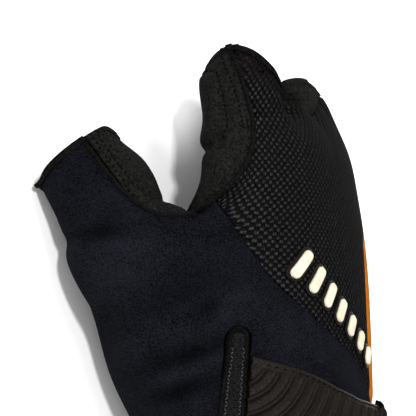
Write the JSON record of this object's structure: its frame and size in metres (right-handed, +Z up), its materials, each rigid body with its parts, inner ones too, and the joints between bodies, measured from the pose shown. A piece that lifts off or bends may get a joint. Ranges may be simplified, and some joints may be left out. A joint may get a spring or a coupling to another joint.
{
  "type": "short-finger cycling glove",
  "caption": "Right-hand short-finger cycling glove with suede palm, mesh back and rubber wrist tab, filled as by a hand and lying palm down.",
  "frame": {"origin": "on the table, under the middle of the glove's bounding box", "axes": "+Z up from the table, +Y from the cuff to the fingers, +X from the thumb side to the little-finger side"},
  "size_m": [0.1184, 0.131, 0.0606],
  "materials": {
    "mesh_cloth": "knitted mesh",
    "navy_cloth": "brushed",
    "orange_cloth": "smooth stretch",
    "suede": "suede nap",
    "trim_cloth": "ribbed elastic and tape",
    "dark_rubber": "moulded, rippled",
    "cream_rubber": "moulded, satin"
  },
  "bodies": {
    "root": {"back_mesh": "mesh_cloth", "thumb_wrist_panel": "navy_cloth", "side_panel": "orange_cloth", "palm_panel": "suede", "thumb_inner_panel": "suede", "index_underside": "suede", "middle_underside": "suede", "ring_underside": "suede", "little_underside": "suede", "thumb_hem": "trim_cloth", "index_hem": "trim_cloth", "middle_hem": "trim_cloth", "ring_hem": "trim_cloth", "little_hem": "trim_cloth", "cuff_hem": "trim_cloth", "seam_roll": "trim_cloth", "slit_binding": "trim_cloth", "slit_gusset": "trim_cloth", "wrist_tab": "dark_rubber", "middle_pull_tab": "suede", "back_bar_1": "cream_rubber", "back_bar_2": "cream_rubber", "back_bar_3": "cream_rubber", "back_bar_4": "cream_rubber", "back_bar_5": "cream_rubber", "back_bar_6": "cream_rubber", "back_bar_7": "cream_rubber"}
  },
  "joints": []
}
